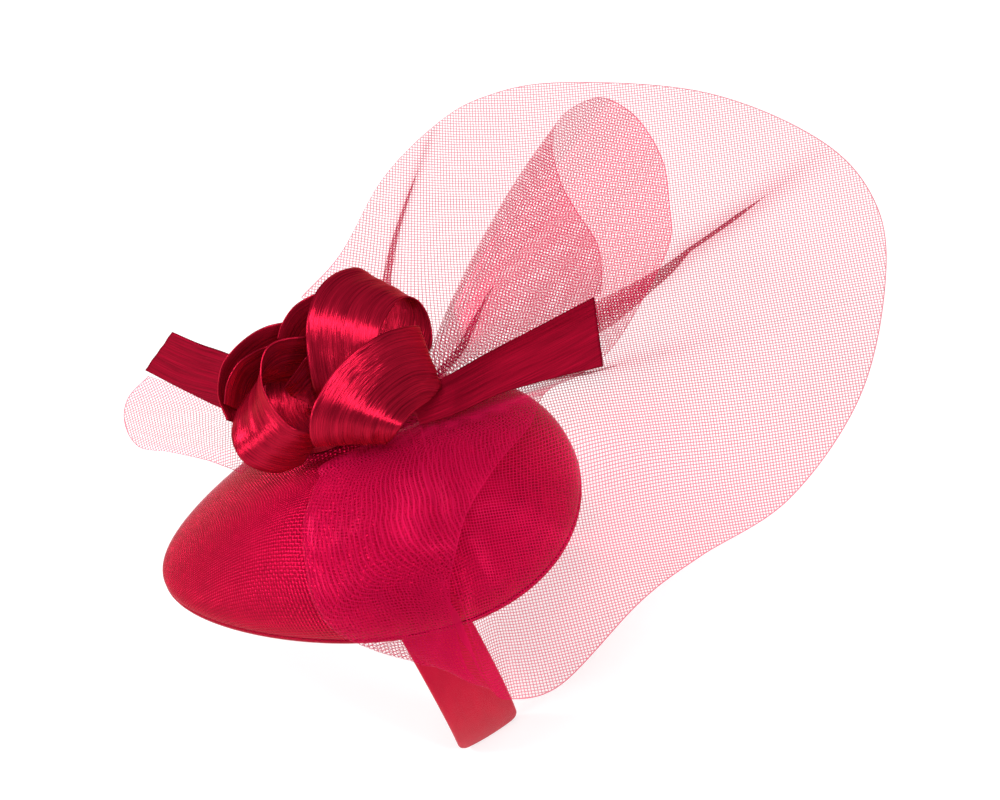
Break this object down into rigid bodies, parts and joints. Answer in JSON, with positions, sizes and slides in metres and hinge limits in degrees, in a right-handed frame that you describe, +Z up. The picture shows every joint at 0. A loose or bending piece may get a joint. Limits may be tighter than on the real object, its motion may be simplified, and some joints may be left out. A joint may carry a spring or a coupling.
{
  "type": "fascinator headpiece",
  "caption": "Egg-shaped straw fascinator base on a satin headband, trimmed with a rose of ribbon loops, two cut ribbon tails and a wide swirl of see-through crinoline mesh.",
  "frame": {"origin": "top of the wearer's head: on the inner face of the headband at its highest point, 3 mm in front of the band's centreline", "axes": "+Z up, -Y the way the wearer faces, +X to the wearer's left; the headband lies in an X-Z plane"},
  "size_m": [0.2093, 0.2972, 0.1765],
  "materials": {
    "red_straw": "woven straw, satin gloss",
    "buckram": "stiff open canvas, matt",
    "red_satin": "satin",
    "clear_plastic": "smooth",
    "steel_wire": "drawn wire",
    "red_thread": "twisted thread",
    "crimson_abaca": "fibrous silk abaca ribbon, low sheen",
    "pink_crinoline": "open nylon mesh, seen through"
  },
  "bodies": {
    "root": {"base_straw_cover": "red_straw", "base_buckram_shell": "buckram", "base_lining": "red_satin", "petersham_ribbon": "red_satin", "rolled_straw_edge": "red_straw", "rim_wire": "steel_wire", "headband_lining": "red_satin", "headband_spring": "clear_plastic", "headband_satin_cover": "red_satin", "band_tack_left": "red_thread", "band_tack_right": "red_thread", "rose_foot": "buckram", "loop_top": "crimson_abaca", "loop_right": "crimson_abaca", "loop_front": "crimson_abaca", "loop_inner_ring": "crimson_abaca", "loop_back": "crimson_abaca", "loop_outer_ring": "crimson_abaca", "loop_heart": "crimson_abaca", "loop_core": "crimson_abaca", "tail_right": "crimson_abaca", "tail_left": "crimson_abaca", "crin_long_strip": "pink_crinoline", "crin_left_loop": "pink_crinoline"}
  },
  "joints": []
}
